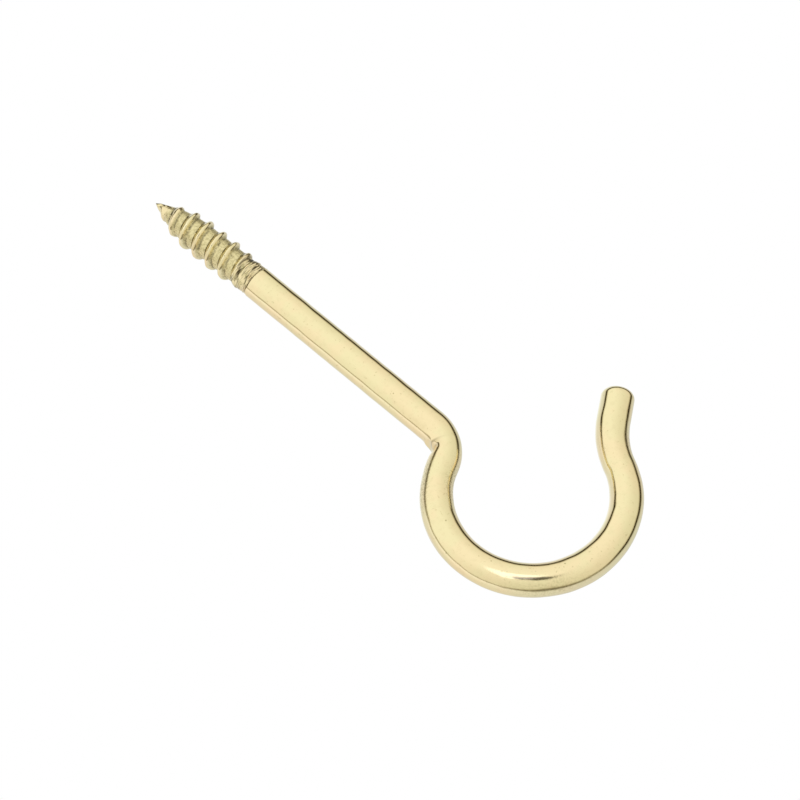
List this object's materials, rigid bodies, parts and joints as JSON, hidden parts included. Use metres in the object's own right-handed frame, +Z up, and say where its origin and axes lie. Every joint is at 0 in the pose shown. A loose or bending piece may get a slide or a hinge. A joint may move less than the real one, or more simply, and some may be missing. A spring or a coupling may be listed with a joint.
{
  "type": "ceiling hook",
  "caption": "Screw-in ceiling hook of bent brass-plated wire: coarse wood-screw thread and point, straight shank, kinked neck, open bow and flared free end.",
  "frame": {"origin": "on the screw axis, at the shoulder where the thread ends, which is the face of the ceiling when the hook is screwed in", "axes": "+Z up along the screw axis to the point; the bow hangs below in the XZ plane, with its mouth towards +X and +Z; Y is across the wire"},
  "size_m": [0.0344, 0.0054, 0.0802],
  "materials": {
    "brass_plating": "polished pale brass plating, rougher and darker between the thread's crests"
  },
  "bodies": {
    "root": {"ceiling_hook": "brass_plating"}
  },
  "joints": []
}
